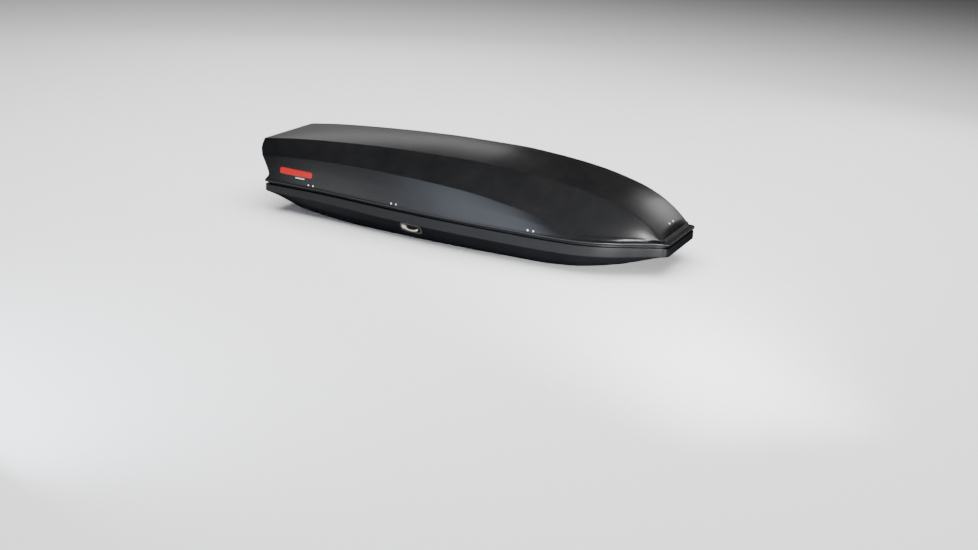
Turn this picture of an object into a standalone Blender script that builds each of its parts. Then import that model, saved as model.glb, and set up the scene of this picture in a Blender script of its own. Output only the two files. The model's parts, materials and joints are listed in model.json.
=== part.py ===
"""Roof cargo box: a two-shell carrier whose lid opens from either side.

+X is the nose, +Y the left side, +Z up. The origin is under the middle of the box, on the face
it rests on. All sizes are in metres.
"""
import bpy
import bmesh
import math
import numpy as np
from mathutils import Matrix, Vector

# Overall sizes
box_length = 2.398
box_width = 0.896
base_depth = 0.157
lid_rise = 0.290
crown_height = 0.020
shell_thickness = 0.0035

# Rims and the seam between the two shells
seam_gap = 0.015
base_rim_inset = 0.004
rim_ledge_width = 0.020
upstand_height = 0.016
lid_skirt_height = 0.010
flange_step = 0.003
rear_rim_share = -0.945
rear_tail = 0.020
rear_hollow = 0.026
rear_ledge_lift = 0.030
nose_ledge_lift = 0.014

# Hinge rods and the three latch stations of each side, from rear to front
latch_station_shares = (-0.6839, -0.2269, 0.4437)
rod_inset = 0.040
rod_drop = 0.030
rod_radius = 0.004
rod_overrun = 0.050
rod_clearance = 0.0004
rivet_spacing = 0.030
rivet_height = 0.031
rivet_head_radius = 0.0062
rivet_head_height = 0.0026
rivet_shank_radius = 0.0022
hole_clearance = 0.0005
bracket_thickness = 0.003
bracket_length = 0.056
web_chamfer = 0.002
web_share = 0.40
eye_radius = 0.0085
eye_length = 0.018
frame_length = 0.012
frame_pad_drop = 0.030
pawl_length = 0.008
side_gap = 0.0015
pivot_inboard = 0.026
pivot_drop = 0.008
pivot_radius = 0.003
latch_rod_width = 0.006
latch_rod_height = 0.012
latch_rod_drop = 0.034

# Lever set on each side
lever_station_share = -0.1376
lever_height_share = 0.4586
pocket_length = 0.124
pocket_height = 0.050
pocket_depth = 0.030
bezel_wall = 0.0030
bezel_rim = 0.0050
bezel_proud = 0.0015
lever_block = 0.030
lever_thickness = 0.012
lock_radius = 0.0085
lever_end_gap = 0.002
hinge_from_end = 0.017
lug_height = 0.0076
lug_length = 0.010
lug_depth = 0.010
lever_axis_depth = 0.004
lever_pin_radius = 0.0020

# Clamps that hold the box to the crossbars
clamp_station_shares = (-0.3003, 0.3670)
clamp_side_share = 0.6027
rail_width = 0.064
rail_thickness = 0.003
rail_overrun = 0.080
clamp_plate_length = 0.110
clamp_plate_width = 0.050
clamp_plate_thickness = 0.004
slot_length = 0.084
slot_width = 0.018
jaw_width = 0.012
jaw_reach = 0.055
jaw_hook = 0.020
jaw_bar = 0.008
jaw_axis_rise = 0.0085
knob_radius = 0.029
knob_height = 0.022

# Cargo straps and lid stiffeners
strap_station_shares = (-0.1334, 0.2002)
strap_width = 0.025
strap_thickness = 0.002
buckle_length = 0.060
rib_station_shares = (-0.3503, 0.2502)
rib_width = 0.044
rib_depth = 0.010
rib_clearance = 0.0010

# Nose guide
guide_width = 0.060
guide_rivet_spacing = 0.060
guide_tab_offset = -0.018
guide_tip_drop = 0.021
guide_seat = 0.0050
nose_rivet_share = 0.9400

seat_gap = 0.0003

half_length = box_length / 2
half_width = box_width / 2
seam_z = base_depth
lid_bottom = seam_z + seam_gap / 2
base_top = seam_z - seam_gap / 2
latch_stations = tuple(share * half_length for share in latch_station_shares)
lever_x = lever_station_share * half_length
lever_height = lever_height_share * base_depth
clamp_x = tuple(share * half_length for share in clamp_station_shares)
clamp_y = clamp_side_share * half_width
rail_span = (clamp_x[0] - rail_overrun, clamp_x[1] + rail_overrun)
strap_x = tuple(share * half_length for share in strap_station_shares)
rib_x = tuple(share * half_length for share in rib_station_shares)
nose_rivet_x = nose_rivet_share * half_length
guide_tip_z = seam_z - guide_tip_drop

# Outlines as shares of the half length, the half width and the lid's rise
rim_plan = ((-0.945, 0.790), (-0.694, 0.808), (-0.518, 0.848), (-0.350, 0.902), (-0.124, 0.958),
            (0.044, 0.987), (0.212, 0.998), (0.413, 1.000), (0.606, 0.973), (0.706, 0.911),
            (0.782, 0.819), (0.874, 0.661), (0.958, 0.518), (1.000, 0.469))
crease_plan = ((-0.998, 0.560), (-0.600, 0.550), (-0.140, 0.560), (0.330, 0.556), (0.525, 0.540),
               (0.725, 0.516), (0.885, 0.480), (0.964, 0.468))
crease_rise = ((-0.998, 0.776), (-0.825, 0.859), (-0.590, 0.931), (-0.365, 0.978), (-0.140, 1.000),
               (0.120, 0.998), (0.327, 0.945), (0.525, 0.852), (0.723, 0.672), (0.821, 0.522),
               (0.885, 0.370), (0.939, 0.192), (0.964, 0.085))
side_plan = ((-0.978, 0.705), (-0.769, 0.748), (-0.610, 0.781), (-0.375, 0.837), (-0.149, 0.882),
             (0.069, 0.908), (0.187, 0.915), (0.392, 0.926), (0.483, 0.926), (0.557, 0.922),
             (0.598, 0.904), (0.648, 0.866), (0.732, 0.779), (0.816, 0.667), (0.899, 0.538),
             (0.975, 0.475))
side_rise = ((-0.978, 0.490), (-0.769, 0.576), (-0.610, 0.617), (-0.375, 0.645), (-0.149, 0.634),
             (0.069, 0.597), (0.187, 0.552), (0.291, 0.490), (0.392, 0.428), (0.483, 0.338),
             (0.557, 0.215), (0.598, 0.155), (0.648, 0.142), (0.732, 0.140), (0.816, 0.136),
             (0.899, 0.122), (0.975, 0.100))
flange_width = ((-0.900, 0.003), (0.460, 0.003), (0.600, 0.010), (0.720, 0.026), (0.850, 0.034),
                (1.000, 0.030))
crown_share = ((-0.998, 0.0), (-0.600, 0.7), (-0.140, 1.0), (0.330, 1.0), (0.945, 1.0), (0.964, 0.4))
line_share = ((-0.945, 0.777), (-0.660, 0.690), (-0.230, 0.630), (0.420, 0.610), (0.760, 0.630),
              (1.000, 0.680))
floor_inset = ((-0.860, 0.1228), (-0.500, 0.1674), (0.000, 0.2009), (0.420, 0.2232), (0.690, 0.2121),
               (0.815, 0.1786), (0.960, 0.1004))
floor_share = ((-0.858, 0.530), (-0.805, 0.325), (-0.735, 0.178), (-0.620, 0.076), (-0.500, 0.016),
               (-0.430, 0.0), (0.455, 0.0), (0.580, 0.050), (0.706, 0.165), (0.832, 0.335),
               (0.908, 0.500), (0.960, 0.630))

side_count = 28
station_spread = 1.3
arc_count = 2
across_count = 8


def curve_through(table, at):
    """The smooth curve through a table's points, flat beyond its ends and never overshooting."""
    xs = [row[0] for row in table]
    ys = [row[1] for row in table]
    if at <= xs[0]:
        return ys[0]
    if at >= xs[-1]:
        return ys[-1]
    index = int(np.searchsorted(xs, at, side="right")) - 1
    slopes = [(ys[k + 1] - ys[k]) / (xs[k + 1] - xs[k]) for k in range(len(xs) - 1)]

    def tangent(k):
        if k == 0 or k == len(xs) - 1:
            return slopes[0] if k == 0 else slopes[-1]
        before = slopes[k - 1]
        after = slopes[k]
        if before * after <= 0:
            return 0.0
        return 2 * before * after / (before + after)

    width = xs[index + 1] - xs[index]
    t = (at - xs[index]) / width
    start = tangent(index) * width
    end = tangent(index + 1) * width
    return ((2 * t ** 3 - 3 * t ** 2 + 1) * ys[index] + (t ** 3 - 2 * t ** 2 + t) * start
            + (3 * t ** 2 - 2 * t ** 3) * ys[index + 1] + (t ** 3 - t ** 2) * end)


def rim_y(x):
    return half_width * curve_through(rim_plan, x / half_length)


def crease_y(x):
    return half_width * curve_through(crease_plan, x / half_length)


def crease_z(x):
    return seam_z + lid_rise * curve_through(crease_rise, x / half_length)


def side_y(x):
    return half_width * curve_through(side_plan, x / half_length)


def side_z(x):
    return seam_z + lid_rise * curve_through(side_rise, x / half_length)


def flange_y(x):
    return rim_y(x) - curve_through(flange_width, x / half_length)


def line_z(x):
    return base_depth * curve_through(line_share, x / half_length)


def floor_y(x):
    return rim_y(x) - half_width * curve_through(floor_inset, x / half_length)


def floor_z(x):
    return base_depth * curve_through(floor_share, x / half_length)


def top_z(x, y):
    """Height of the lid's top panel, crowned between its two creases."""
    edge = crease_y(x)
    crown = crown_height * curve_through(crown_share, x / half_length)
    return crease_z(x) + crown * (1 - (y / edge) ** 2)


def mix(a, b, share):
    return a + (b - a) * share


def clear_scene():
    for obj in list(bpy.data.objects):
        bpy.data.objects.remove(obj, do_unlink=True)
    for collection in list(bpy.data.collections):
        bpy.data.collections.remove(collection)


clear_scene()
box_parts = bpy.data.collections.new("roof_cargo_box")
cutters = bpy.data.collections.new("cutters")
bpy.context.scene.collection.children.link(box_parts)
bpy.context.scene.collection.children.link(cutters)
cutters.hide_render = True

palette = {
    "lid_plastic": ((0.022, 0.022, 0.024), 0.42, 0.0),
    "base_plastic": ((0.030, 0.031, 0.036), 0.45, 0.0),
    "black_plastic": ((0.020, 0.020, 0.021), 0.50, 0.0),
    "steel": ((0.50, 0.51, 0.52), 0.32, 1.0),
    "nickel": ((0.72, 0.68, 0.58), 0.28, 1.0),
    "aluminium": ((0.60, 0.61, 0.62), 0.38, 1.0),
    "webbing": ((0.030, 0.030, 0.032), 0.85, 0.0),
}


def finish_piece(obj, look, collection=box_parts):
    """Puts a piece in its collection with a material of its own."""
    for owner in list(obj.users_collection):
        owner.objects.unlink(obj)
    collection.objects.link(obj)
    if collection is cutters:
        obj.hide_render = True
        obj.display_type = "WIRE"
        return obj
    colour, roughness, metallic = palette[look]
    material = bpy.data.materials.new(obj.name + "_material")
    material.use_nodes = True
    shader = material.node_tree.nodes["Principled BSDF"]
    shader.inputs["Base Color"].default_value = (*colour, 1.0)
    shader.inputs["Roughness"].default_value = roughness
    shader.inputs["Metallic"].default_value = metallic
    obj.data.materials.clear()
    obj.data.materials.append(material)
    return obj


def mesh_object(name, work, look, collection=box_parts):
    bmesh.ops.recalc_face_normals(work, faces=work.faces)
    mesh = bpy.data.meshes.new(name)
    work.to_mesh(mesh)
    work.free()
    obj = bpy.data.objects.new(name, mesh)
    bpy.context.scene.collection.objects.link(obj)
    return finish_piece(obj, look, collection)


def evaluated_copy(obj):
    graph = bpy.context.evaluated_depsgraph_get()
    return bpy.data.meshes.new_from_object(obj.evaluated_get(graph))


def plate(outlines, depth, matrix, work=None):
    """A flat outline with any holes, given depth about its plane and placed by the matrix."""
    curve = bpy.data.curves.new("outline", "CURVE")
    curve.dimensions = "2D"
    curve.fill_mode = "BOTH"
    curve.extrude = depth / 2
    for outline in outlines:
        spline = curve.splines.new("POLY")
        spline.points.add(len(outline) - 1)
        for point, place in zip(spline.points, outline):
            point.co = (place[0], place[1], 0.0, 1.0)
        spline.use_cyclic_u = True
    obj = bpy.data.objects.new("outline", curve)
    bpy.context.scene.collection.objects.link(obj)
    bpy.context.view_layer.update()
    mesh = evaluated_copy(obj)
    bpy.data.objects.remove(obj, do_unlink=True)
    made = bmesh.new() if work is None else work
    before = set(made.verts)
    made.from_mesh(mesh)
    fresh = [v for v in made.verts if v not in before]
    bmesh.ops.remove_doubles(made, verts=fresh, dist=1e-6)
    fresh = [v for v in made.verts if v not in before]
    bmesh.ops.transform(made, matrix=matrix, verts=fresh)
    return made


def round_outline(centre, radius, sides, start=0.0):
    turns = [start + 2 * math.pi * k / sides for k in range(sides)]
    return [(centre[0] + radius * math.cos(a), centre[1] + radius * math.sin(a)) for a in turns]


def box_outline(low, high):
    return [(low[0], low[1]), (high[0], low[1]), (high[0], high[1]), (low[0], high[1])]


def block(low, high, work=None):
    made = bmesh.new() if work is None else work
    centre = [(a + b) / 2 for a, b in zip(low, high)]
    size = [b - a for a, b in zip(low, high)]
    matrix = Matrix.Translation(centre) @ Matrix.Diagonal((*size, 1.0))
    bmesh.ops.create_cube(made, size=1.0, matrix=matrix)
    return made


def rod(start, end, radius, sides, work=None, end_radius=None):
    made = bmesh.new() if work is None else work
    start = Vector(start)
    end = Vector(end)
    turn = (end - start).to_track_quat("Z", "Y").to_matrix().to_4x4()
    matrix = Matrix.Translation((start + end) / 2) @ turn
    bmesh.ops.create_cone(made, cap_ends=True, segments=sides, radius1=radius,
                          radius2=radius if end_radius is None else end_radius,
                          depth=(end - start).length, matrix=matrix)
    return made


def boolean(obj, other, operation):
    step = obj.modifiers.new(operation.lower(), "BOOLEAN")
    step.operation = operation
    step.solver = "EXACT"
    step.object = other
    return step


def bake(obj):
    """Replaces an object's mesh with what its modifiers make."""
    bpy.context.view_layer.update()
    mesh = evaluated_copy(obj)
    tidy = bmesh.new()
    tidy.from_mesh(mesh)
    bmesh.ops.remove_doubles(tidy, verts=tidy.verts, dist=1e-6)
    bmesh.ops.dissolve_degenerate(tidy, edges=tidy.edges, dist=1e-7)
    tidy.to_mesh(mesh)
    tidy.free()
    materials = list(obj.data.materials)
    obj.modifiers.clear()
    obj.data = mesh
    mesh.materials.clear()
    for material in materials:
        mesh.materials.append(material)
    return obj


def join_all(obj, others):
    for other in others:
        boolean(obj, other, "UNION")
    bake(obj)
    for other in others:
        bpy.data.objects.remove(other, do_unlink=True)
    return obj


def helper(name, work):
    return mesh_object(name, work, "steel", cutters)


def mirrored(obj, name, look):
    """The same piece on the right side."""
    work = bmesh.new()
    work.from_mesh(obj.data)
    place = Matrix.Diagonal((1.0, -1.0, 1.0, 1.0)) @ obj.matrix_basis
    bmesh.ops.transform(work, matrix=place, verts=work.verts)
    copy = mesh_object(name, work, look)
    origin = obj.matrix_basis.translation
    return set_origin(copy, (origin.x, -origin.y, origin.z))


def set_origin(obj, point):
    """Moves a piece's origin onto its joint axis and leaves its shape where it is."""
    offset = Vector(point) - obj.location
    obj.data.transform(Matrix.Translation(-offset))
    obj.location = point
    return obj


# Shells

def ring(rear, nose, y_of, z_of, rear_radius, nose_radius):
    """One level of a shell's right-hand edge: rear corner, side and nose corner."""
    points = []
    rear_y = y_of(rear + rear_radius)
    for k in range(arc_count + 1):
        turn = math.pi / 2 * k / arc_count
        x = rear + rear_radius * (1 - math.cos(turn))
        points.append((x, rear_y - rear_radius * (1 - math.sin(turn)), z_of(x)))
    start = rear + rear_radius
    end = nose - nose_radius
    for k in range(1, side_count):
        x = mix(end, start, (1 - k / side_count) ** station_spread)
        points.append((x, y_of(x), z_of(x)))
    nose_y = y_of(end)
    for k in range(arc_count + 1):
        turn = math.pi / 2 * k / arc_count
        x = end + nose_radius * math.sin(turn)
        points.append((x, nose_y - nose_radius * (1 - math.cos(turn)), z_of(x)))
    return points


def blend_rings(first, second, share, bulge=0.0, drop=0.0):
    """The level between two others, swelled outward by bulge and lowered by drop."""
    return [(mix(a[0], b[0], share), mix(a[1], b[1], share) + bulge, mix(a[2], b[2], share) - drop)
            for a, b in zip(first, second)]


def shell_surface(levels, middle_z):
    """A skin from levels ordered edge first, closed across the middle and at both ends.

    middle_z(x, y, edge_z) gives the height of the panel that joins the two innermost levels.
    """
    work = bmesh.new()
    count = len(levels[0])
    rows = []
    for k in range(count):
        row = [work.verts.new((level[k][0], -level[k][1], level[k][2])) for level in levels]
        x, y, z = levels[-1][k]
        for step in range(1, across_count):
            at = mix(-y, y, step / across_count)
            row.append(work.verts.new((x, at, middle_z(x, at, z))))
        row += [work.verts.new((level[k][0], level[k][1], level[k][2])) for level in reversed(levels)]
        rows.append(row)
    for first, second in zip(rows, rows[1:]):
        for a, b, c, d in zip(first, first[1:], second[1:], second):
            work.faces.new((a, b, c, d))
    top = len(levels) - 1
    for row in (rows[0], rows[-1]):
        previous = row[top:top + across_count + 1]
        for index in range(top - 1, -1, -1):
            left = row[len(row) - 1 - index]
            right = row[index]
            line = [right]
            for step in range(1, across_count):
                place = right.co.lerp(left.co, step / across_count)
                line.append(work.verts.new(place))
            line.append(left)
            for a, b, c, d in zip(previous, previous[1:], line[1:], line):
                work.faces.new((a, b, c, d))
            previous = line
    bmesh.ops.recalc_face_normals(work, faces=work.faces)
    return work


def solid_shell(name, work, look, inward):
    """Gives a skin its wall thickness on the inner side."""
    mesh = bpy.data.meshes.new(name)
    work.to_mesh(mesh)
    work.free()
    obj = bpy.data.objects.new(name, mesh)
    bpy.context.scene.collection.objects.link(obj)
    finish_piece(obj, look)
    thick = obj.modifiers.new("wall", "SOLIDIFY")
    thick.thickness = shell_thickness
    thick.offset = -1.0 if inward else 1.0
    bake(obj)
    return obj


def toward_rear(ring_points, reach, share):
    """Moves a level's rear end by reach, fading out over this share of its points."""
    fade = len(ring_points) * share
    return [(x + reach * max(0.0, 1 - k / fade), y, z) for k, (x, y, z) in enumerate(ring_points)]


def lid_levels():
    rear_rim = rear_rim_share * half_length
    nose_rim = half_length
    level = [
        ring(rear_rim, nose_rim, rim_y, lambda x: lid_bottom, 0.025, 0.030),
        ring(rear_rim, nose_rim, lambda x: rim_y(x) - 0.001, lambda x: lid_bottom + lid_skirt_height,
             0.025, 0.030),
        ring(rear_rim + 0.005, 0.971 * half_length, flange_y,
             lambda x: lid_bottom + lid_skirt_height + flange_step, 0.022, 0.020),
    ]
    side = ring(-0.978 * half_length, 0.9655 * half_length, side_y, side_z, 0.016, 0.015)
    crease = ring(-0.998 * half_length, 0.964 * half_length, crease_y, crease_z, 0.010, 0.012)
    tail = blend_rings(level[2], side, 0.22, 0.0015, 0.0)
    level.append(toward_rear(tail, rear_tail, 0.15))
    hollow = blend_rings(level[2], side, 0.60, 0.0025, 0.0)
    level.append(toward_rear(hollow, rear_hollow, 0.15))
    level.append(side)
    shoulder = blend_rings(side, crease, 0.5, 0.003, 0.0)
    level.append(toward_rear(shoulder, -half_length - shoulder[0][0], 0.13))
    level.append(crease)
    return level


def make_lid_shell():
    levels = lid_levels()
    work = shell_surface(levels, lambda x, y, z: top_z(x, y) if abs(y) < crease_y(x) else z)
    return solid_shell("lid_shell", work, "lid_plastic", True)


def base_levels():
    rear_rim = rear_rim_share * half_length + base_rim_inset
    nose_rim = half_length - base_rim_inset
    ledge = rim_ledge_width

    def outer(x):
        return rim_y(x) - base_rim_inset

    level = [
        ring(rear_rim + ledge, nose_rim - ledge, lambda x: outer(x) - ledge,
             lambda x: base_top + upstand_height, 0.020, 0.020),
        ring(rear_rim + ledge, nose_rim - ledge, lambda x: outer(x) - ledge, lambda x: base_top,
             0.020, 0.020),
        ring(rear_rim, nose_rim, outer, lambda x: base_top, 0.025, 0.030),
        ring(rear_rim, nose_rim, outer, line_z, 0.025, 0.030),
    ]
    floor = ring(-0.858 * half_length, 0.955 * half_length, floor_y, floor_z, 0.040, 0.030)
    belly = blend_rings(level[3], floor, 0.5, 0.010, 0.008)
    fade = len(belly) * 0.15
    lifted = []
    for k, (x, y, z) in enumerate(belly):
        rear_lift = rear_ledge_lift * max(0.0, 1 - k / fade)
        nose_lift = nose_ledge_lift * max(0.0, 1 - (len(belly) - 1 - k) / fade)
        lifted.append((x, y, z + rear_lift + nose_lift))
    level.append(lifted)
    level.append(floor)
    return level


def make_base_shell():
    work = shell_surface(base_levels(), lambda x, y, z: z)
    return solid_shell("base_shell", work, "base_plastic", True)


# Hinge line of the left side

def line_point(station):
    """The point of the left hinge line at a distance along X."""
    rear, front = latch_stations[0], latch_stations[-1]
    rear_y = rim_y(rear) - rod_inset
    front_y = rim_y(front) - rod_inset
    y = mix(rear_y, front_y, (station - rear) / (front - rear))
    return Vector((station, y, seam_z - rod_drop))


line_direction = (line_point(latch_stations[-1]) - line_point(latch_stations[0])).normalized()


def line_frame(station, along=0.0):
    """Local X points outboard, local Y up and local Z along the hinge line."""
    place = line_point(station) + line_direction * along
    up = Vector((0.0, 0.0, 1.0))
    outboard = up.cross(line_direction)
    matrix = Matrix((outboard, up, line_direction)).transposed().to_4x4()
    return Matrix.Translation(place) @ matrix



def between(first, second, station):
    """Points of two neighbouring levels at a distance along X, on their straight chords."""
    found = []
    for level in (first, second):
        for a, b in zip(level, level[1:]):
            if a[0] <= station <= b[0]:
                share = (station - a[0]) / (b[0] - a[0])
                found.append(Vector((station, mix(a[1], b[1], share), mix(a[2], b[2], share))))
                break
    return found


def wall_frame(first, second, station, height):
    """A frame on the left wall: local X toward the nose, local Y up the wall, local Z outward."""
    low, high = between(first, second, station)
    share = (height - low.z) / (high.z - low.z)
    place = low.lerp(high, share)
    ahead_low, ahead_high = between(first, second, station + 0.02)
    behind_low, behind_high = between(first, second, station - 0.02)
    forward = ahead_low.lerp(ahead_high, share) - behind_low.lerp(behind_high, share)
    forward.normalize()
    up = (high - low).normalized()
    outward = up.cross(forward).normalized()
    up = forward.cross(outward)
    # Local axes: forward, up and outward form a left-handed set, so local X points to the rear.
    matrix = Matrix((-forward, up, outward)).transposed().to_4x4()
    return Matrix.Translation(place) @ matrix


def make_rivet_pair(name, frame, spacing, stack, look="aluminium"):
    """Two rivets through a wall, joined by the backing plate they are set on."""
    plate_start = -shell_thickness - stack
    end = spacing / 2
    outline = [(-end - 0.007, -0.006), (-end + 0.003, -0.006), (-end + 0.0035, -0.002),
               (end - 0.0035, -0.002), (end - 0.003, -0.006), (end + 0.007, -0.006),
               (end + 0.007, 0.006), (-end - 0.007, 0.006)]
    made = plate([outline], 0.0015,
                 frame @ Matrix.Translation((0, 0, plate_start - 0.00075)))
    base = mesh_object(name, made, look)
    others = []
    for side in (-1, 1):
        x = side * spacing / 2
        foot = frame @ Vector((x, 0, plate_start - 0.0008))
        seat = frame @ Vector((x, 0, 0.0006))
        head = frame @ Vector((x, 0, 0.0006 + rivet_head_height))
        under = frame @ Vector((x, 0, 0.0009))
        others.append(helper("shank", rod(foot, under, rivet_shank_radius, 8)))
        others.append(helper("head", rod(seat, head, rivet_head_radius, 12,
                                         end_radius=rivet_head_radius * 0.55)))
    return join_all(base, others)


def rivet_holes(frame, spacing, work):
    for side in (-1, 1):
        x = side * spacing / 2
        start = frame @ Vector((x, 0, -0.012))
        end = frame @ Vector((x, 0, 0.006))
        rod(start, end, rivet_shank_radius + hole_clearance, 8, work)


def lid_wall_frame(station):
    levels = lid_levels()
    return wall_frame(levels[3], levels[4], station, seam_z + rivet_height)


def nose_frame():
    """A frame on the lid's nose panel: local X to the left, local Y forward and down, local Z out."""
    x = nose_rivet_x
    step = 0.01
    slope = Vector((2 * step, 0.0, top_z(x + step, 0.0) - top_z(x - step, 0.0))).normalized()
    left = Vector((0.0, 1.0, 0.0))
    outward = slope.cross(left)
    matrix = Matrix((left, -slope, outward)).transposed().to_4x4()
    return Matrix.Translation((x, 0.0, top_z(x, 0.0))) @ matrix


def mirror_matrix(frame):
    """The frame on the right wall that faces a frame on the left one."""
    flip = Matrix.Diagonal((1.0, -1.0, 1.0, 1.0))
    turned = flip @ frame @ Matrix.Diagonal((-1.0, 1.0, 1.0, 1.0))
    return turned


def cut(obj, work):
    cutter = helper("cutter", work)
    boolean(obj, cutter, "DIFFERENCE")
    bake(obj)
    bpy.data.objects.remove(cutter, do_unlink=True)


# Lid furniture

def make_bracket(index, station):
    """Riveted to the lid's wall, it carries the hinge rod in an eye."""
    wall = lid_wall_frame(station)
    seat = shell_thickness + 0.0012
    made = plate([box_outline((-bracket_length / 2, -0.008), (bracket_length / 2, 0.009))],
                 bracket_thickness, wall @ Matrix.Translation((0, 0, -seat - bracket_thickness / 2)))
    obj = mesh_object("lid_bracket_left_%d" % index, made, "steel")
    line = line_frame(station)
    inner = line.inverted() @ (wall @ Vector((0, -0.004, -seat - bracket_thickness / 2)))
    leg = eye_radius
    top = inner.y
    web = [(-leg, 0.0), (-leg + bracket_thickness + 0.001, 0.0),
           (-leg + bracket_thickness + 0.001, top - bracket_thickness),
           (inner.x - web_chamfer, top - bracket_thickness), (inner.x, top - bracket_thickness + web_chamfer),
           (inner.x, top), (-leg, top)]
    others = [helper("web", plate([web], rivet_spacing * web_share, line))]
    others.append(helper("eye", plate([round_outline((0, 0), eye_radius + 0.0003, 12, 0.1)], eye_length,
                                      line)))
    join_all(obj, others)
    bore = rod(line @ Vector((0, 0, -0.03)), line @ Vector((0, 0, 0.03)), rod_radius + rod_clearance, 12)
    cut(obj, bore)
    holes = bmesh.new()
    rivet_holes(wall, rivet_spacing, holes)
    cut(obj, holes)
    return obj


def make_hinge_rod():
    start = line_point(latch_stations[0]) - line_direction * rod_overrun
    end = line_point(latch_stations[-1]) + line_direction * rod_overrun
    obj = mesh_object("hinge_rod_left", rod(start, end, rod_radius, 12), "steel")
    return set_origin(obj, line_point(latch_stations[1]))


def make_rib(name, x):
    """A stiffening bar bonded across the inside of the lid."""
    slope = (top_z(x + 0.02, 0.0) - top_z(x - 0.02, 0.0)) / 0.04
    edge = crease_y(x) - 0.014
    steps = 8
    across = [mix(-edge, edge, k / steps) for k in range(steps + 1)]
    low = shell_thickness + rib_clearance
    centre = top_z(x, 0.0)
    upper = [(y, top_z(x, y) - centre - low) for y in across]
    lower = [(y, z - rib_depth) for y, z in reversed(upper)]
    along = Vector((1.0, 0.0, slope)).normalized()
    left = Vector((0.0, 1.0, 0.0))
    up = along.cross(left)
    matrix = Matrix((left, up, along)).transposed().to_4x4()
    made = plate([upper + lower], rib_width, Matrix.Translation((x, 0.0, centre)) @ matrix)
    return mesh_object(name, made, "aluminium")


# Nose guide

def tab_x():
    depth = shell_thickness + guide_seat + bracket_thickness / 2
    return (nose_frame() @ Vector((0, -guide_tab_offset, -depth))).x


def make_guide_tongue():
    frame = nose_frame()
    seat = shell_thickness + guide_seat
    half = guide_rivet_spacing / 2 + 0.012
    made = plate([box_outline((-half, -0.009), (half, 0.022))], bracket_thickness,
                 frame @ Matrix.Translation((0, 0, -seat - bracket_thickness / 2)))
    obj = mesh_object("nose_guide_tongue", made, "steel")
    top = (frame @ Vector((0, -guide_tab_offset, -seat - bracket_thickness / 2))).z
    tab = helper("tab", block((tab_x() - 0.0015, -guide_width / 3, guide_tip_z),
                              (tab_x() + 0.0015, guide_width / 3, top)))
    join_all(obj, [tab])
    holes = bmesh.new()
    rivet_holes(frame, guide_rivet_spacing, holes)
    cut(obj, holes)
    return obj


def make_guide_socket():
    """A fork on the base's nose that the tongue drops into."""
    x = tab_x()
    low = x - 0.010
    high = x + 0.010
    rise = shell_thickness * 1.15 + 0.0008
    outline = [(low, floor_z(low) + rise), (high, floor_z(high) + rise), (high, guide_tip_z + 0.014),
               (low, guide_tip_z + 0.014)]
    across = Matrix(((1, 0, 0), (0, 0, -1), (0, 1, 0))).to_4x4()
    obj = mesh_object("nose_guide_socket", plate([outline], guide_width, across), "black_plastic")
    slot = block((x - 0.004, -guide_width / 3 - 0.003, guide_tip_z - 0.003),
                 (x + 0.004, guide_width / 3 + 0.003, guide_tip_z + 0.05))
    cut(obj, slot)
    return obj


# Latches

def make_latch_frame(index, station):
    """A fork on the base's side wall that holds the hinge rod from below."""
    start = eye_length / 2 + side_gap
    line = line_frame(station, start + frame_length / 2)
    levels = base_levels()
    seat = shell_thickness + 0.0010
    wall = wall_frame(levels[3], levels[2], station + start + frame_length / 2, seam_z - frame_pad_drop)
    pad = plate([box_outline((-0.024, -0.012), (0.020, 0.010))], bracket_thickness,
                wall @ Matrix.Translation((0, 0, -seat - bracket_thickness / 2)))
    obj = mesh_object("latch_frame_left_%d" % index, pad, "steel")
    inner = line.inverted() @ (wall @ Vector((0, 0, -seat - bracket_thickness / 2)))
    slot = rod_radius + rod_clearance
    outline = [(-pivot_inboard - 0.008, -0.018), (inner.x, -0.018), (inner.x, 0.004), (slot, 0.006),
               (slot, 0.0), (slot * 0.7, -slot * 0.7), (0.0, -slot), (-slot * 0.7, -slot * 0.7),
               (-slot, 0.0), (-slot, 0.003), (-0.012, 0.003), (-0.018, 0.0),
               (-pivot_inboard - 0.008, 0.0)]
    web = helper("web", plate([outline], frame_length, line))
    pivot_start = line @ Vector((-pivot_inboard, -pivot_drop, frame_length / 2 - 0.002))
    pivot_end = line @ Vector((-pivot_inboard, -pivot_drop, frame_length / 2 + side_gap + pawl_length
                               + 0.002))
    pin = helper("pin", rod(pivot_start, pivot_end, pivot_radius, 10))
    return join_all(obj, [web, pin])


def pawl_frame(station):
    along = eye_length / 2 + side_gap + frame_length + side_gap + pawl_length / 2
    return line_frame(station, along)


def make_pawl(index, station):
    line = pawl_frame(station)
    px = -pivot_inboard
    py = -pivot_drop
    reach = -rod_radius - rod_clearance
    outline = [(px - 0.007, py - 0.004), (px - 0.005, py - 0.017), (px + 0.003, py - 0.017),
               (px + 0.006, py - 0.004), (px + 0.010, 0.004), (reach, 0.003), (reach, 0.010),
               (px + 0.012, 0.016), (px + 0.002, 0.013), (px - 0.007, py + 0.004)]
    hole = round_outline((px, py), pivot_radius + rod_clearance, 10)
    made = plate([outline, hole], pawl_length, line)
    obj = mesh_object("latch_pawl_left_%d" % index, made, "steel")
    return set_origin(obj, line @ Vector((px, py, 0.0)))


def make_latch_rod():
    half = (line_point(latch_stations[-1]) - line_point(latch_stations[0])).length / 2
    line = line_frame((latch_stations[0] + latch_stations[-1]) / 2)
    y = -latch_rod_drop
    outline = box_outline((-pivot_inboard - latch_rod_width / 2, y - latch_rod_height / 2),
                          (-pivot_inboard + latch_rod_width / 2, y + latch_rod_height / 2))
    made = plate([outline], 2 * half + 0.07, line @ Matrix.Translation((0, 0, 0.015)))
    obj = mesh_object("latch_rod_left", made, "steel")
    return set_origin(obj, line @ Vector((-pivot_inboard, y, 0.0)))


# Lever set

def lever_frame():
    levels = base_levels()
    return wall_frame(levels[4], levels[3], lever_x, lever_height)


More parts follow.
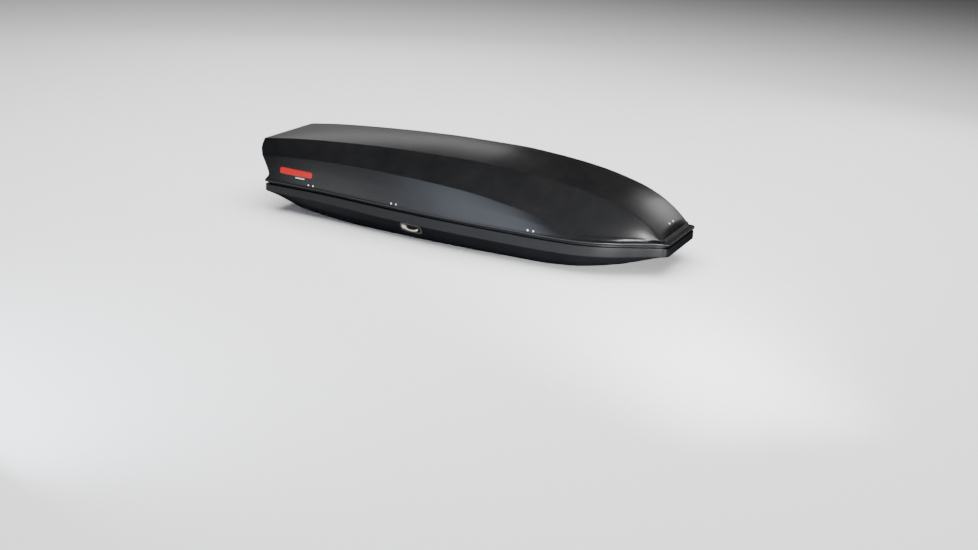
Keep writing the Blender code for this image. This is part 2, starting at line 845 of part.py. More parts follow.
def rounded_box(half_x, half_y, radius, steps=4):
    points = []
    for centre_x, centre_y, start in ((half_x - radius, half_y - radius, 0.0),
                                      (radius - half_x, half_y - radius, math.pi / 2),
                                      (radius - half_x, radius - half_y, math.pi),
                                      (half_x - radius, radius - half_y, 1.5 * math.pi)):
        for k in range(steps + 1):
            turn = start + math.pi / 2 * k / steps
            points.append((centre_x + radius * math.cos(turn), centre_y + radius * math.sin(turn)))
    return points


def make_pocket_cutter(work):
    outline = rounded_box(pocket_length / 2 + 0.0004, pocket_height / 2 + 0.0004, 0.021)
    for frame in (lever_frame(), mirror_matrix(lever_frame())):
        plate([outline], 0.05, frame, work)
    return work


def lever_hinge_x():
    """Local X points to the rear, so the hinge end is at positive X."""
    return pocket_length / 2 - hinge_from_end


def make_bezel():
    """The pocket's cup, its rim on the outside and the two lugs the lever turns in."""
    frame = lever_frame()
    half_x = pocket_length / 2
    half_y = pocket_height / 2
    inner = rounded_box(half_x - bezel_wall, half_y - bezel_wall, 0.0178)
    rim = rounded_box(half_x + bezel_rim, half_y + bezel_rim, 0.026)
    flange = plate([rim], bezel_proud, frame @ Matrix.Translation((0, 0, seat_gap + bezel_proud / 2)))
    obj = mesh_object("lever_bezel_left", flange, "black_plastic")
    top = seat_gap + bezel_proud / 2
    cup = plate([rounded_box(half_x, half_y, 0.0208)], top + pocket_depth,
                frame @ Matrix.Translation((0, 0, (top - pocket_depth) / 2)))
    join_all(obj, [helper("cup", cup)])
    hollow_low = bezel_wall - pocket_depth
    cut(obj, plate([inner], 0.010 - hollow_low,
                   frame @ Matrix.Translation((0, 0, (0.010 + hollow_low) / 2))))
    x = lever_hinge_x()
    others = []
    for side in (-1, 1):
        ends = sorted((side * (half_y - bezel_wall + 0.001), side * (half_y - bezel_wall - lug_height)))
        lug = plate([box_outline((x - lug_length / 2, ends[0]), (x + lug_length / 2, ends[1]))], lug_depth,
                    frame @ Matrix.Translation((0, 0, -0.006)))
        others.append(helper("lug", lug))
    join_all(obj, others)
    reach = half_y - bezel_wall - 0.001
    bore = rod(frame @ Vector((x, -reach, -lever_axis_depth)),
               frame @ Vector((x, reach, -lever_axis_depth)), lever_pin_radius + rod_clearance, 8)
    cut(obj, bore)
    return obj


def make_lever():
    """A J-shaped pull whose block carries the lock."""
    frame = lever_frame()
    end = pocket_length / 2 - bezel_wall - lever_end_gap
    tip = end - 0.0005
    block_half = lever_block / 2 - 0.001
    inner_edge = end - lever_block + 0.002
    outline = [(end - 0.006, block_half), (tip - 0.0018, block_half - 0.0018),
               (tip, block_half - 0.006), (tip, -block_half + 0.005),
               (end - 0.004, -block_half + 0.001), (lever_hinge_x() - 0.007, -block_half),
               (inner_edge - 0.004, -block_half - 0.004),
               (0.0, -0.0212), (-0.022, -0.0185), (-0.038, -0.011), (-0.045, -0.001),
               (-0.0415, 0.003), (-0.036, 0.0015), (-0.026, -0.006), (-0.010, -0.0105),
               (0.008, -0.0110), (inner_edge - 0.006, -0.008), (inner_edge - 0.001, 0.000),
               (inner_edge, block_half - 0.004), (inner_edge + 0.004, block_half)]
    centre = (end + inner_edge) / 2
    bore = round_outline((centre, 0.0), lock_radius + 0.0004, 16)
    made = plate([outline, bore], lever_thickness,
                 frame @ Matrix.Translation((0, 0, 0.002 - lever_thickness / 2)))
    obj = mesh_object("lever_left", made, "nickel")
    x = lever_hinge_x()
    pins = []
    for side in (-1, 1):
        start = frame @ Vector((x, side * (lock_radius + 0.0015), -lever_axis_depth))
        stop = frame @ Vector((x, side * (pocket_height / 2 - bezel_wall - 0.003), -lever_axis_depth))
        pins.append(helper("pin", rod(start, stop, lever_pin_radius, 8)))
    join_all(obj, pins)
    return set_origin(obj, frame @ Vector((x, 0.0, -lever_axis_depth)))


def make_lock():
    frame = lever_frame()
    end = pocket_length / 2 - bezel_wall - lever_end_gap
    centre = end - lever_block / 2 + 0.001
    made = rod(frame @ Vector((centre, 0, -0.011)), frame @ Vector((centre, 0, 0.0035)), lock_radius, 16)
    obj = mesh_object("lock_barrel_left", made, "steel")
    keyway = block((-0.0045, -0.0007, -0.004), (0.0045, 0.0007, 0.004))
    bmesh.ops.transform(keyway, matrix=frame @ Matrix.Translation((centre, 0, 0.0035)),
                        verts=keyway.verts)
    cut(obj, keyway)
    return set_origin(obj, frame @ Vector((centre, 0, 0.0)))


# Crossbar clamps

def clamp_levels():
    rail_low = shell_thickness + seat_gap
    rail_top = rail_low + rail_thickness
    plate_low = rail_top + seat_gap
    plate_top = plate_low + clamp_plate_thickness
    return rail_low, rail_top, plate_low, plate_top


def jaw_axis(x, y):
    return Vector((x - slot_length / 2 + 0.012, y, clamp_levels()[3] + jaw_axis_rise))


def slot_block(x, y, low, high, work=None):
    return block((x - slot_length / 2, y - slot_width / 2, low),
                 (x + slot_length / 2, y + slot_width / 2, high), work)


def make_rail(name, side):
    rail_low, rail_top, _, _ = clamp_levels()
    y = side * clamp_y
    obj = mesh_object(name, block((rail_span[0], y - rail_width / 2, rail_low),
                                  (rail_span[1], y + rail_width / 2, rail_top)), "steel")
    slots = bmesh.new()
    for x in clamp_x:
        slot_block(x, y, rail_low - 0.01, rail_top + 0.01, slots)
    cut(obj, slots)
    return obj


def make_clamp(place, x, y):
    _, _, low, top = clamp_levels()
    axis = jaw_axis(x, y)
    cheek_in = slot_width / 2 + 0.0005
    cheek_out = cheek_in + 0.006
    bridge_low = axis.z + 0.012
    bridge_top = bridge_low + 0.005
    outer = box_outline((-clamp_plate_length / 2, -clamp_plate_width / 2),
                        (clamp_plate_length / 2, clamp_plate_width / 2))
    hole = box_outline((-slot_length / 2, -slot_width / 2), (slot_length / 2, slot_width / 2))
    made = plate([outer, hole], top - low, Matrix.Translation((x, y, (top + low) / 2)))
    body = mesh_object("clamp_body_" + place, made, "black_plastic")
    others = []
    for side in (-1, 1):
        ends = sorted((side * cheek_in, side * cheek_out))
        others.append(helper("cheek", block((axis.x - 0.012, y + ends[0], top - 0.001),
                                            (axis.x + 0.012, y + ends[1], bridge_low + 0.002))))
    others.append(helper("bridge", block((axis.x - 0.014, y - cheek_out - 0.001, bridge_low),
                                         (axis.x + 0.014, y + cheek_out + 0.001, bridge_top))))
    join_all(body, others)
    cut(body, rod((axis.x, y - 0.03, axis.z), (axis.x, y + 0.03, axis.z), 0.0029, 8))

    arm = jaw_bar / 2
    outline = [(-0.006, -arm + 0.001), (-0.004, -arm), (jaw_reach, -arm), (jaw_reach, jaw_hook),
               (jaw_reach - jaw_bar * 0.6, jaw_hook), (jaw_reach - jaw_bar, arm), (-0.004, arm),
               (-0.006, arm - 0.001)]
    across = Matrix(((1, 0, 0), (0, 0, -1), (0, 1, 0))).to_4x4()
    jaw = mesh_object("clamp_jaw_" + place,
                      plate([outline], jaw_width, Matrix.Translation(axis) @ across), "steel")
    pin = helper("pin", rod((axis.x, y - cheek_out + 0.001, axis.z), (axis.x, y + cheek_out - 0.001, axis.z),
                            0.0025, 8))
    join_all(jaw, [pin])
    set_origin(jaw, axis)

    stem_low = bridge_top + seat_gap
    disc_low = stem_low + 0.010
    lobes = []
    count = 30
    for k in range(count):
        turn = 2 * math.pi * k / count
        radius = knob_radius * (1 - 0.06 * (1 + math.cos(6 * turn)) / 2)
        lobes.append((radius * math.cos(turn), radius * math.sin(turn)))
    made = plate([lobes], knob_height, Matrix.Translation((axis.x, y, disc_low + knob_height / 2)))
    knob = mesh_object("clamp_knob_" + place, made, "black_plastic")
    stem = helper("stem", rod((axis.x, y, stem_low), (axis.x, y, disc_low + 0.004), 0.006, 12))
    join_all(knob, [stem])
    set_origin(knob, (axis.x, y, stem_low))
    return body, jaw, knob


# Cargo straps

def make_strap(place, x):
    rail_low, rail_top, _, _ = clamp_levels()
    inner_edge = clamp_y - rail_width / 2
    floor_level = shell_thickness + 0.0006
    rail_level = rail_top + 0.0006
    lower = [(-inner_edge - 0.022, rail_level), (-inner_edge + 0.001, rail_level),
             (-inner_edge + 0.010, floor_level), (inner_edge - 0.010, floor_level),
             (inner_edge - 0.001, rail_level), (inner_edge + 0.022, rail_level)]
    upper = [(y, z + strap_thickness) for y, z in reversed(lower)]
    across = Matrix(((0, 0, 1), (1, 0, 0), (0, 1, 0))).to_4x4()
    strap = mesh_object("cargo_strap_" + place,
                        plate([lower + upper], strap_width, Matrix.Translation((x, 0, 0)) @ across),
                        "webbing")
    low = floor_level + strap_thickness + 0.0006
    outline = rounded_box(strap_width / 2 + 0.006, buckle_length / 2, 0.006, 2)
    buckle = mesh_object("strap_buckle_" + place,
                         plate([outline], 0.009, Matrix.Translation((x, 0, low + 0.0045))),
                         "black_plastic")
    return strap, buckle


def build_box():
    lid_shell = make_lid_shell()
    base_shell = make_base_shell()

    holes = bmesh.new()
    for station in latch_stations:
        frame = lid_wall_frame(station)
        rivet_holes(frame, rivet_spacing, holes)
        rivet_holes(mirror_matrix(frame), rivet_spacing, holes)
    rivet_holes(nose_frame(), guide_rivet_spacing, holes)
    cut(lid_shell, holes)

    openings = bmesh.new()
    for x in clamp_x:
        for side in (-1, 1):
            slot_block(x, side * clamp_y, -0.01, 0.02, openings)
    make_pocket_cutter(openings)
    cut(base_shell, openings)

    for index, station in enumerate(latch_stations, 1):
        bracket = make_bracket(index, station)
        mirrored(bracket, "lid_bracket_right_%d" % index, "steel")
        stack = 0.0012 + bracket_thickness + 0.0006
        rivets = make_rivet_pair("rivets_left_%d" % index, lid_wall_frame(station), rivet_spacing, stack)
        mirrored(rivets, "rivets_right_%d" % index, "aluminium")
        latch_frame = make_latch_frame(index, station)
        mirrored(latch_frame, "latch_frame_right_%d" % index, "steel")
        pawl = make_pawl(index, station)
        mirrored(pawl, "latch_pawl_right_%d" % index, "steel")
    mirrored(make_hinge_rod(), "hinge_rod_right", "steel")
    mirrored(make_latch_rod(), "latch_rod_right", "steel")
    mirrored(make_bezel(), "lever_bezel_right", "black_plastic")
    mirrored(make_lever(), "lever_right", "nickel")
    mirrored(make_lock(), "lock_barrel_right", "steel")

    turned = nose_frame() @ Matrix.Rotation(math.pi, 4, "Z")
    stack = guide_seat + bracket_thickness + 0.0006
    make_rivet_pair("rivets_nose", turned, guide_rivet_spacing, stack)
    make_guide_tongue()
    make_guide_socket()
    for place, x in zip(("rear", "front"), rib_x):
        make_rib("lid_rib_" + place, x)
    for place, x in zip(("rear", "front"), strap_x):
        make_strap(place, x)
    for name, side in (("left", 1), ("right", -1)):
        make_rail("floor_rail_" + name, side)
        for place, x in zip(("rear", "front"), clamp_x):
            make_clamp(place + "_" + name, x, side * clamp_y)


build_box()
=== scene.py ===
import bpy
import bmesh
import json
import math
import numpy as np
from mathutils import Matrix, Vector

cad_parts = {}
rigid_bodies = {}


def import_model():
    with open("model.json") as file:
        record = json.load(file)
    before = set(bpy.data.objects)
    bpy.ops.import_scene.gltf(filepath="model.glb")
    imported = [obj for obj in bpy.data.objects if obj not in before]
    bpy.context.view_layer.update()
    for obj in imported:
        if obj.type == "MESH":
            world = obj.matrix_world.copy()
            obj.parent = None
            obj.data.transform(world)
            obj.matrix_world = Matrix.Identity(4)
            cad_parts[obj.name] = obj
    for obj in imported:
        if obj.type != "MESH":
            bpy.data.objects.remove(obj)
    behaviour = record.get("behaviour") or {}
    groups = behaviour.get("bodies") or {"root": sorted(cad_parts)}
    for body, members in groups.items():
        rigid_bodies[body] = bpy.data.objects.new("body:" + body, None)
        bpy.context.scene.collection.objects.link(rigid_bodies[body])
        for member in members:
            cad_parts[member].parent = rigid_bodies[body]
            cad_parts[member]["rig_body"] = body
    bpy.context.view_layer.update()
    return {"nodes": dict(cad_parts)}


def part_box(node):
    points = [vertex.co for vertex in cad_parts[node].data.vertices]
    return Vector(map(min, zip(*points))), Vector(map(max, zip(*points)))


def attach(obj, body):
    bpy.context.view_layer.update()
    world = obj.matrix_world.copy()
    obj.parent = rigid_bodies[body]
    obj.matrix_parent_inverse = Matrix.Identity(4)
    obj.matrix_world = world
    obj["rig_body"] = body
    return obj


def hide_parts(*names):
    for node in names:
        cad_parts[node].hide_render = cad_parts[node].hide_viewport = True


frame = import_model()
nodes = frame["nodes"]
scene = bpy.context.scene
print("frame loaded:", len(nodes), "nodes")


# camera
camera = {
    "place": (3.1706, -6.7763, 2.1686),
    "azimuth": 24.249,
    "elevation": 18.0,
    "roll": 3.363,
    "lens": 52.03,
    "sensor": 36,
    "reach": 100,
}


def addCamera(c):
    az, el, roll = (math.radians(c[k]) for k in ("azimuth", "elevation", "roll"))
    back = Vector((math.sin(az) * math.cos(el), -math.cos(az) * math.cos(el), math.sin(el)))
    right = (-back).cross(Vector((0, 0, 1))).normalized()
    up = right.cross(-back).normalized()
    sideways = right * math.cos(roll) + up * math.sin(roll)
    upright = up * math.cos(roll) - right * math.sin(roll)
    data = bpy.data.cameras.new("camera")
    data.lens = c["lens"]
    data.sensor_width = c["sensor"]
    data.clip_end = c["reach"]
    view = bpy.data.objects.new("camera", data)
    turned = Matrix((sideways, upright, back)).transposed().to_4x4()
    view.matrix_world = Matrix.Translation(c["place"]) @ turned
    scene.collection.objects.link(view)
    scene.camera = view


addCamera(camera)


# shader maths
class Value:
    # a node output that ordinary operators work on

    def __init__(self, tree, socket):
        self.tree = tree
        self.socket = socket

    def math(self, kind, *others):
        node = self.tree.nodes.new("ShaderNodeMath")
        node.operation = kind
        for socket, value in zip(node.inputs, (self,) + others):
            plug(self.tree, value, socket)
        return Value(self.tree, node.outputs[0])

    def __add__(self, other):
        return self.math("ADD", other)

    __radd__ = __add__

    def __mul__(self, other):
        return self.math("MULTIPLY", other)

    __rmul__ = __mul__

    def __sub__(self, other):
        return self.math("SUBTRACT", other)

    def __rsub__(self, other):
        return (self * -1.0) + other

    def above(self, low, high):
        # 0 below low, 1 over high, smooth between.
        node = self.tree.nodes.new("ShaderNodeMapRange")
        node.interpolation_type = "SMOOTHSTEP"
        plug(self.tree, self, node.inputs["Value"])
        node.inputs["From Min"].default_value = low
        node.inputs["From Max"].default_value = high
        return Value(self.tree, node.outputs[0])


def plug(tree, value, socket):
    if isinstance(value, Value):
        tree.links.new(value.socket, socket)
    elif value is not None:
        socket.default_value = value


class Finish:
    # a procedural material; patterns read Object coordinates in metres

    def __init__(self, name, **fixed):
        self.material = bpy.data.materials.new(name)
        self.material.use_nodes = True
        self.tree = self.material.node_tree
        self.shader = self.tree.nodes["Principled BSDF"]
        for key, value in fixed.items():
            self.shader.inputs[key].default_value = value
        self.place = self.node("ShaderNodeTexCoord", output="Object")

    def node(self, kind, settings=None, output=0, **inputs):
        node = self.tree.nodes.new(kind)
        for key, value in (settings or {}).items():
            setattr(node, key, value)
        for key, value in inputs.items():
            plug(self.tree, value, node.inputs[key])
        return Value(self.tree, node.outputs[output])

    def noise(self, scale, detail=2.0, roughness=0.5, where=None):
        return self.node("ShaderNodeTexNoise", Vector=where or self.place, Scale=scale, Detail=detail,
                         Roughness=roughness)

    def cells(self, scale):
        return self.node("ShaderNodeTexVoronoi", Vector=self.place, Scale=scale)

    def stretched(self, x, y, z):
        return self.node("ShaderNodeMapping", Vector=self.place, Scale=(x, y, z))

    def between(self, share, first, second):
        node = self.tree.nodes.new("ShaderNodeMix")
        node.data_type = "RGBA"
        plug(self.tree, share, node.inputs[0])
        for value, socket in ((first, node.inputs[6]), (second, node.inputs[7])):
            plug(self.tree, value if isinstance(value, Value) else (*value, 1.0), socket)
        return Value(self.tree, node.outputs[2])

    def facing(self, axis):
        normal = self.node("ShaderNodeTexCoord", output="Normal")
        return self.node("ShaderNodeSeparateXYZ", output=axis, Vector=normal)

    def bump(self, height, strength, distance):
        return self.node("ShaderNodeBump", Height=height, Strength=strength, Distance=distance)

    def wear(self, colour=None, roughness=None, normal=None, **others):
        for key, value in (("Base Color", colour), ("Roughness", roughness), ("Normal", normal),
                           *((k.replace("_", " "), v) for k, v in others.items())):
            if value is not None:
                plug(self.tree, value, self.shader.inputs[key])
        return self.material


def grainedPlastic(name, dark, light, rough, grain, depth, dust=0.0, gloss=0.5, skin=0.0,
                   noseEdge=(0.75, 0.92)):
    # moulded ABS with a fine leather grain, faint flow clouds and settled dust
    f = Finish(name, **{"Specular IOR Level": gloss, "Coat Roughness": rough * 0.85})
    clouds = f.noise(3.1, 4.0, 0.55)
    specks = f.noise(grain * 0.6, 1.0)
    colour = f.between(clouds.above(0.32, 0.70), dark, light)
    colour = f.between(specks.above(0.55, 0.75) * 0.25, colour, tuple(c * 1.9 for c in light))
    if dust:
        film = f.facing(2).above(0.35, 0.98) * f.noise(14.0, 5.0, 0.6).above(0.30, 0.78) * dust
        colour = f.between(film, colour, (0.30, 0.29, 0.27))
    pebbles = f.cells(grain) * 0.75 + f.noise(grain * 1.9, 2.0) * 0.5
    shine = clouds * 0.03 + f.noise(30.0, 3.0) * 0.05 + specks * 0.05 + (rough - 0.065)
    # the skin's shine is worn off the underside and the nose edge
    worn = f.facing(2).above(-0.55, -0.12) * (1 - f.facing(0).above(*noseEdge))
    return f.wear(colour, shine, f.bump(pebbles, 0.55, depth), Coat_Weight=worn * skin)


def drawnMetal(name, tint, deep, rough, along, scratch=0.25, metallic=1.0):
    # metal with fine drawing lines, handling marks and a little tarnish
    f = Finish(name, Metallic=metallic)
    lines = f.noise(1.0, 3.0, 0.6, f.stretched(*along))
    marks = f.noise(55.0, 4.0, 0.6)
    colour = f.between(marks.above(0.42, 0.72), tint, deep)
    shine = lines * 0.22 + marks * 0.14 + (rough - 0.16)
    return f.wear(colour, shine, f.bump(lines * 0.7 + marks * 0.3, scratch, 0.00012))


lidLook = {"dark": (0.0042, 0.0043, 0.0048), "light": (0.0056, 0.0056, 0.0060), "rough": 0.40, "grain": 620.0,
           "depth": 0.00018, "dust": 0.012, "gloss": 0.0, "skin": 0.76}
baseLook = {"dark": (0.0050, 0.0053, 0.0062), "light": (0.0064, 0.0068, 0.0078), "rough": 0.46, "grain": 620.0,
            "depth": 0.00018, "dust": 0.006, "gloss": 0.0, "skin": 0.38, "noseEdge": (0.45, 0.75)}
mouldedLook = {"dark": (0.010, 0.0095, 0.009), "light": (0.016, 0.0150, 0.014), "rough": 0.50, "grain": 900.0,
               "depth": 0.00015}

lidPlastic = grainedPlastic("grained lid ABS", **lidLook)
basePlastic = grainedPlastic("grained base ABS", **baseLook)
mouldedPlastic = grainedPlastic("moulded nylon", **mouldedLook)
nickel = drawnMetal("satin champagne nickel", (0.70, 0.63, 0.50), (0.58, 0.52, 0.42), 0.30, (60, 900, 900))
steel = drawnMetal("zinc plated steel", (0.56, 0.57, 0.58), (0.44, 0.44, 0.42), 0.36, (40, 700, 700))
aluminium = drawnMetal("bright aluminium", (0.82, 0.82, 0.82), (0.66, 0.66, 0.65), 0.30, (300, 300, 300),
                       metallic=0.45)
lockMetal = drawnMetal("lock steel", (0.62, 0.60, 0.56), (0.40, 0.38, 0.35), 0.28, (500, 500, 500))


def wovenWebbing():
    f = Finish("woven webbing", **{"Sheen Weight": 0.25, "Sheen Roughness": 0.5})
    ribs = f.node("ShaderNodeTexWave", {"bands_direction": "Y"}, Vector=f.place, Scale=330.0, Distortion=0.6)
    yarns = f.node("ShaderNodeTexWave", {"bands_direction": "X"}, Vector=f.place, Scale=210.0, Distortion=0.4)
    colour = f.between(ribs * yarns, (0.014, 0.014, 0.016), (0.050, 0.050, 0.054))
    return f.wear(colour, ribs * 0.1 + 0.75, f.bump(ribs + yarns, 0.6, 0.0004))


webbing = wovenWebbing()
print("finishes made")


# shared outlines of the two shells
body = {
    "length": 2.398, "width": 0.896, "depth": 0.157, "rise": 0.290, "crown": 0.020, "wall": 0.0035,
    "seam": 0.015, "rimInset": 0.004, "ledge": 0.020, "upstand": 0.016, "skirt": 0.010, "step": 0.003,
    "rearRim": -0.945, "rearLift": 0.026, "noseLift": 0.014,
}
halfLength = body["length"] / 2
halfWidth = body["width"] / 2
seamZ = body["depth"]
lidBottom = seamZ + body["seam"] / 2
baseTop = seamZ - body["seam"] / 2

# shares of the half length, against shares of the half width or of the rise
outline = {
    "rim": ((-0.945, 0.790), (-0.694, 0.808), (-0.518, 0.848), (-0.350, 0.902), (-0.124, 0.958),
            (0.044, 0.987), (0.212, 0.998), (0.413, 1.000), (0.606, 0.973), (0.706, 0.911),
            (0.782, 0.819), (0.874, 0.661), (0.958, 0.518), (1.000, 0.469)),
    "creaseOut": ((-0.998, 0.560), (-0.600, 0.550), (-0.140, 0.560), (0.330, 0.556), (0.525, 0.540),
                  (0.725, 0.516), (0.885, 0.480), (0.964, 0.468)),
    "creaseUp": ((-0.998, 0.776), (-0.825, 0.859), (-0.590, 0.931), (-0.365, 0.978), (-0.140, 1.000),
                 (0.120, 0.998), (0.327, 0.945), (0.525, 0.852), (0.723, 0.672), (0.821, 0.522),
                 (0.885, 0.370), (0.939, 0.192), (0.964, 0.085)),
    "sideOut": ((-0.978, 0.705), (-0.769, 0.748), (-0.610, 0.781), (-0.375, 0.837), (-0.149, 0.882),
                (0.069, 0.908), (0.187, 0.915), (0.392, 0.926), (0.483, 0.926), (0.557, 0.922),
                (0.598, 0.904), (0.648, 0.866), (0.732, 0.779), (0.816, 0.667), (0.899, 0.538),
                (0.975, 0.475)),
    "sideUp": ((-0.978, 0.490), (-0.769, 0.576), (-0.610, 0.617), (-0.375, 0.645), (-0.149, 0.634),
               (0.069, 0.597), (0.187, 0.552), (0.291, 0.490), (0.392, 0.428), (0.483, 0.338),
               (0.557, 0.215), (0.598, 0.155), (0.648, 0.142), (0.732, 0.140), (0.816, 0.136),
               (0.899, 0.122), (0.975, 0.100)),
    "flange": ((-0.900, 0.003), (0.460, 0.003), (0.600, 0.010), (0.720, 0.026), (0.850, 0.034), (1.000, 0.030)),
    "crown": ((-0.998, 0.0), (-0.600, 0.7), (-0.140, 1.0), (0.330, 1.0), (0.945, 1.0), (0.964, 0.4)),
    "line": ((-0.945, 0.712), (-0.860, 0.702), (-0.660, 0.685), (-0.230, 0.630), (0.420, 0.610),
             (0.760, 0.630), (1.000, 0.680)),
    "floorIn": ((-0.860, 0.1228), (-0.500, 0.1674), (0.000, 0.2009), (0.420, 0.2232), (0.690, 0.2121),
                (0.815, 0.1786), (0.960, 0.1004)),
    "floorUp": ((-0.858, 0.530), (-0.805, 0.325), (-0.735, 0.178), (-0.620, 0.076), (-0.500, 0.016),
                (-0.430, 0.0), (0.455, 0.0), (0.580, 0.050), (0.706, 0.165), (0.832, 0.335),
                (0.908, 0.500), (0.960, 0.630)),
}


def along(name, x):
    # the smooth curve through an outline's points at a distance along the box
    at = x / halfLength
    xs = [p[0] for p in outline[name]]
    ys = [p[1] for p in outline[name]]
    if at <= xs[0]:
        return ys[0]
    if at >= xs[-1]:
        return ys[-1]
    i = int(np.searchsorted(xs, at, side="right")) - 1
    slopes = [(ys[k + 1] - ys[k]) / (xs[k + 1] - xs[k]) for k in range(len(xs) - 1)]

    def tangent(k):
        if k in (0, len(xs) - 1):
            return slopes[0] if k == 0 else slopes[-1]
        a, b = slopes[k - 1], slopes[k]
        return 0.0 if a * b <= 0 else 2 * a * b / (a + b)

    w = xs[i + 1] - xs[i]
    t = (at - xs[i]) / w
    return ((2 * t ** 3 - 3 * t ** 2 + 1) * ys[i] + (t ** 3 - 2 * t ** 2 + t) * tangent(i) * w
            + (3 * t ** 2 - 2 * t ** 3) * ys[i + 1] + (t ** 3 - t ** 2) * tangent(i + 1) * w)


def rimY(x):
    return halfWidth * along("rim", x)


def creaseY(x):
    return halfWidth * along("creaseOut", x)


def creaseZ(x):
    return seamZ + body["rise"] * along("creaseUp", x)


def sideY(x):
    return halfWidth * along("sideOut", x)


def sideZ(x):
    return seamZ + body["rise"] * along("sideUp", x)


def lineZ(x):
    return body["depth"] * along("line", x)


def floorY(x):
    return rimY(x) - halfWidth * along("floorIn", x)


def floorZ(x):
    return body["depth"] * along("floorUp", x)


def topZ(x, y):
    edge = creaseY(x)
    return creaseZ(x) + body["crown"] * along("crown", x) * (1 - (y / edge) ** 2)


def mix(a, b, t):
    return a + (b - a) * t


def ring(rear, nose, yOf, zOf, rearRadius, noseRadius, stations, arcs, spread=1.3):
    # one level of a shell's edge: rear corner, side and nose corner
    points = []
    rearY = yOf(rear + rearRadius)
    for k in range(arcs + 1):
        turn = math.pi / 2 * k / arcs
        x = rear + rearRadius * (1 - math.cos(turn))
        points.append((x, rearY - rearRadius * (1 - math.sin(turn)), zOf(x)))
    start, end = rear + rearRadius, nose - noseRadius
    for k in range(1, stations):
        x = mix(end, start, (1 - k / stations) ** spread)
        points.append((x, yOf(x), zOf(x)))
    noseY = yOf(end)
    for k in range(arcs + 1):
        turn = math.pi / 2 * k / arcs
        x = end + noseRadius * math.sin(turn)
        points.append((x, noseY - noseRadius * (1 - math.cos(turn)), zOf(x)))
    return np.array(points)


def blendRings(a, b, share, bulge=0.0, drop=0.0):
    made = a + (b - a) * share
    made[:, 1] += bulge
    made[:, 2] -= drop
    return made


def towardRear(level, reach, share):
    # moves a level's rear end by reach, fading out over this share of its points
    moved = level.copy()
    fade = np.maximum(0.0, 1 - np.arange(len(level)) / (len(level) * share))
    moved[:, 0] += reach * fade
    return moved


def roundedSections(levels, cuts, steps):
    # every station's section with its corners rounded; a cut is how far the rounding reaches
    rows = [levels[0]]
    for i in range(1, len(levels) - 1):
        before, at, after = levels[i - 1], levels[i], levels[i + 1]
        reach = []
        for other in (before, after):
            span = np.linalg.norm(other - at, axis=1, keepdims=True)
            reach.append(at + (other - at) * np.minimum(0.48, cuts[i] / np.maximum(span, 1e-6)))
        for k in range(steps + 1):
            t = k / steps
            rows.append(reach[0] * (1 - t) ** 2 + at * 2 * t * (1 - t) + reach[1] * t ** 2)
    rows.append(levels[-1])
    return np.array(rows)


def shellSkin(levels, cuts, steps, across, middle):
    # a skin from levels ordered edge first, closed across the middle and at both ends
    sections = roundedSections(levels, cuts, steps)
    depth, count = sections.shape[0], sections.shape[1]
    work = bmesh.new()
    rows = []
    for k in range(count):
        right = [work.verts.new((p[0], -p[1], p[2])) for p in sections[:, k]]
        left = [work.verts.new((p[0], p[1], p[2])) for p in sections[:, k]]
        x, y, z = sections[-1, k]
        row = list(right)
        for step in range(1, across):
            v = mix(-y, y, step / across)
            row.append(work.verts.new((x, v, middle(x, v, z))))
        rows.append(row + left[::-1])
    for first, second in zip(rows, rows[1:]):
        for a, b, c, d in zip(first, first[1:], second[1:], second):
            work.faces.new((a, b, c, d))
    for row in (rows[0], rows[-1]):
        previous = row[depth - 1:depth + across]
        for j in range(depth - 2, -1, -1):
            rightEnd, leftEnd = row[j], row[len(row) - 1 - j]
            line = [rightEnd]
            for step in range(1, across):
                place = rightEnd.co.lerp(leftEnd.co, step / across)
                line.append(work.verts.new(place))
            line.append(leftEnd)
            for a, b, c, d in zip(previous, previous[1:], line[1:], line):
                work.faces.new((a, b, c, d))
            previous = line
    bmesh.ops.remove_doubles(work, verts=work.verts, dist=1e-6)
    bmesh.ops.dissolve_degenerate(work, edges=work.edges, dist=1e-7)
    bmesh.ops.recalc_face_normals(work, faces=work.faces)
    return work


def meshPiece(name, work, material, smooth=35.0):
    mesh = bpy.data.meshes.new(name)
    work.to_mesh(mesh)
    work.free()
    obj = bpy.data.objects.new(name, mesh)
    scene.collection.objects.link(obj)
    mesh.materials.append(material)
    if smooth:
        mesh.shade_smooth()
        mesh.set_sharp_from_angle(angle=math.radians(smooth))
    return obj


def applied(obj):
    # replaces the mesh with what the modifiers make
    bpy.context.view_layer.update()
    made = bpy.data.meshes.new_from_object(obj.evaluated_get(bpy.context.evaluated_depsgraph_get()))
    obj.modifiers.clear()
    obj.data = made
    return obj


def walled(obj):
    wall = obj.modifiers.new("wall", "SOLIDIFY")
    wall.thickness = body["wall"]
    wall.offset = -1.0
    return applied(obj)


# lid
# corners are radii at the rear and at the nose; ends are shares of the half length
lidDetail = {"stations": 150, "arcs": 8, "across": 40, "steps": 6,
             "skirtEdge": 0.0025, "flangeHollow": 0.010, "flare": 0.060, "sideCrease": 0.004,
             "shoulder": 0.060, "topCrease": 0.004, "tailTuck": 0.016, "tailHollow": 0.034, "tailSlope": 0.022,
             "skirtLean": 0.001, "ledgeIn": 0.005, "ledgeNose": 0.971, "topInset": 0.007,
             "sideEnds": (-0.978, 0.9655), "creaseEnds": (-0.998, 0.964),
             "rimCorners": (0.025, 0.030), "ledgeCorners": (0.022, 0.020), "sideCorners": (0.016, 0.015),
             "creaseCorners": (0.010, 0.012), "topCorners": (0.006, 0.008)}


